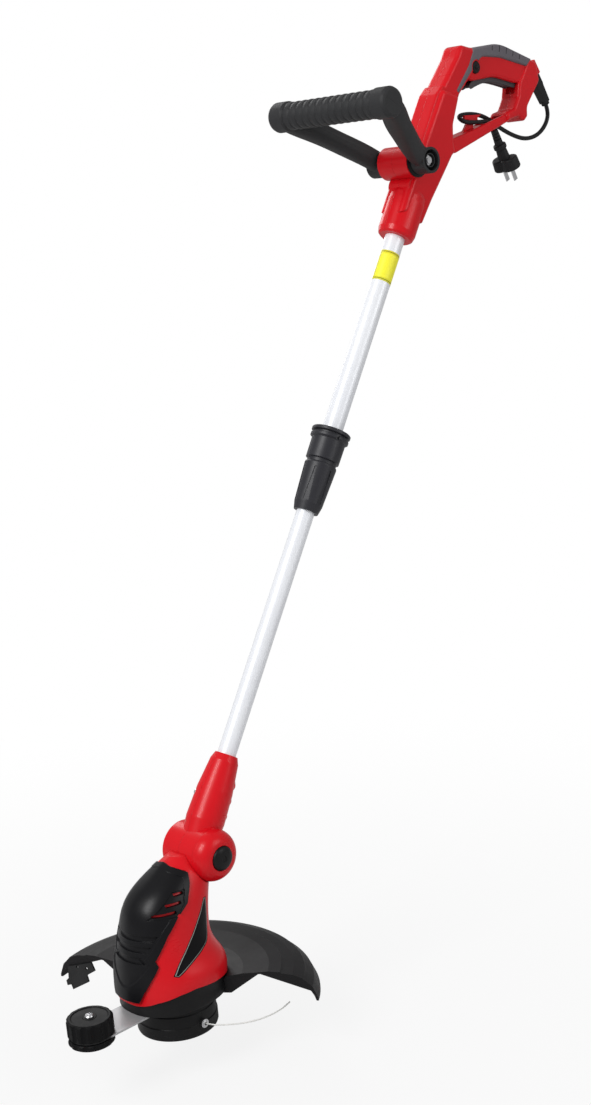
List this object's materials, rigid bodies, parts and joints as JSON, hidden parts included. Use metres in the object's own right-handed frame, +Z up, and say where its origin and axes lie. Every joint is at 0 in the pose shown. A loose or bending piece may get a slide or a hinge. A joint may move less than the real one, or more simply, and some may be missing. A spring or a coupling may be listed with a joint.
{
  "type": "string trimmer",
  "caption": "Corded string trimmer with a tilting motor head, bump-feed line spool, guard, edge guide wheel, telescopic shaft, tilting front handle and closed rear handle.",
  "frame": {"origin": "middle of the rear grip, where the operator's hand holds the tool", "axes": "+Z up along the line spool's axis, +Y from the head towards the operator, +X to the operator's left"},
  "size_m": [0.3003, 0.9299, 1.0785],
  "materials": {
    "red_plastic": "moulded",
    "black_plastic": "moulded",
    "grey_rubber": "moulded",
    "silver_tube": "satin",
    "steel": "satin",
    "copper": "satin",
    "cord_rubber": "moulded",
    "nylon_line": "moulded"
  },
  "bodies": {
    "handle": {"handle_left": "red_plastic", "handle_right": "red_plastic", "handle_screws": "steel", "soft_grip": "grey_rubber", "switch_body": "black_plastic", "strain_relief": "cord_rubber", "mains_cord": "cord_rubber", "plug": "cord_rubber", "plug_blades": "steel", "upper_tube": "silver_tube", "collar_body": "black_plastic", "collet": "black_plastic", "handle_bolt": "steel", "handle_nut": "steel", "hub_discs": "black_plastic"},
    "front_handle": {"front_handle_top": "black_plastic", "front_handle_bottom": "black_plastic"},
    "trigger": {"trigger": "grey_rubber"},
    "lock_button": {"lock_button": "black_plastic"},
    "collar_nut": {"collar_nut": "black_plastic"},
    "lower_shaft": {"lower_tube": "silver_tube", "tube_guide": "black_plastic", "socket_left": "red_plastic", "socket_right": "red_plastic", "socket_screws": "steel", "pivot_pin": "steel"},
    "tilt_button": {"tilt_button": "black_plastic"},
    "head": {"motor_housing_left": "red_plastic", "motor_housing_right": "red_plastic", "motor_cover": "black_plastic", "motor_base": "black_plastic", "motor_stator": "steel", "motor_brushes": "copper", "lower_bearing": "steel", "upper_bearing": "steel", "guard": "black_plastic", "guard_screws": "steel", "line_cutter": "steel", "wheel_bracket": "steel"},
    "edge_wheel": {"wheel_upper": "black_plastic", "wheel_lower": "black_plastic", "wheel_axle": "steel"},
    "spindle": {"motor_shaft": "steel", "armature": "steel", "commutator": "copper", "cooling_fan": "black_plastic", "spool_housing": "black_plastic", "spool_cover": "black_plastic", "line_eyelet": "steel", "cutting_line": "nylon_line", "bump_spring": "steel"},
    "spool": {"line_reel": "black_plastic", "bump_knob": "black_plastic", "wound_line": "nylon_line"}
  },
  "joints": [
    {"name": "tube_slide", "type": "slide", "parent": "handle", "child": "lower_shaft", "axis": [0, 0.5299, 0.848], "range_m": [0, 0.2]},
    {"name": "collar_twist", "type": "hinge", "parent": "handle", "child": "collar_nut", "pos_m": [0, -0.38155, -0.48795], "axis": [0, 0.5299, 0.848], "range_deg": [0, 90]},
    {"name": "head_tilt", "type": "hinge", "parent": "lower_shaft", "child": "head", "pos_m": [0, -0.61345, -0.86661], "axis": [1, 0, 0], "range_deg": [-30, 30]},
    {"name": "tilt_button_press", "type": "slide", "parent": "lower_shaft", "child": "tilt_button", "axis": [-1, 0, 0], "range_m": [0, 0.004], "stiffness_N_per_m": 400},
    {"name": "front_handle_tilt", "type": "hinge", "parent": "handle", "child": "front_handle", "pos_m": [0, -0.1831, -0.11941], "axis": [1, 0, 0], "range_deg": [-30, 60]},
    {"name": "trigger_pull", "type": "hinge", "parent": "handle", "child": "trigger", "pos_m": [0, 0.03445, -0.02978], "axis": [-1, 0, 0], "range_deg": [0, 6], "stiffness_Nm_per_rad": 0.6},
    {"name": "lock_off_press", "type": "slide", "parent": "handle", "child": "lock_button", "axis": [-1, 0, 0], "range_m": [0, 0.003], "stiffness_N_per_m": 300},
    {"name": "spindle_spin", "type": "hinge", "parent": "head", "child": "spindle", "pos_m": [0, -0.66845, -1.03961], "axis": [0, 0, 1], "continuous": true},
    {"name": "spool_bump", "type": "slide", "parent": "spindle", "child": "spool", "axis": [0, 0, 1], "range_m": [0, 0.004], "stiffness_N_per_m": 1500, "deforming": ["bump_spring"]},
    {"name": "edge_wheel_spin", "type": "hinge", "parent": "head", "child": "edge_wheel", "pos_m": [0, -0.78795, -1.01961], "axis": [0, 0, 1], "continuous": true}
  ]
}
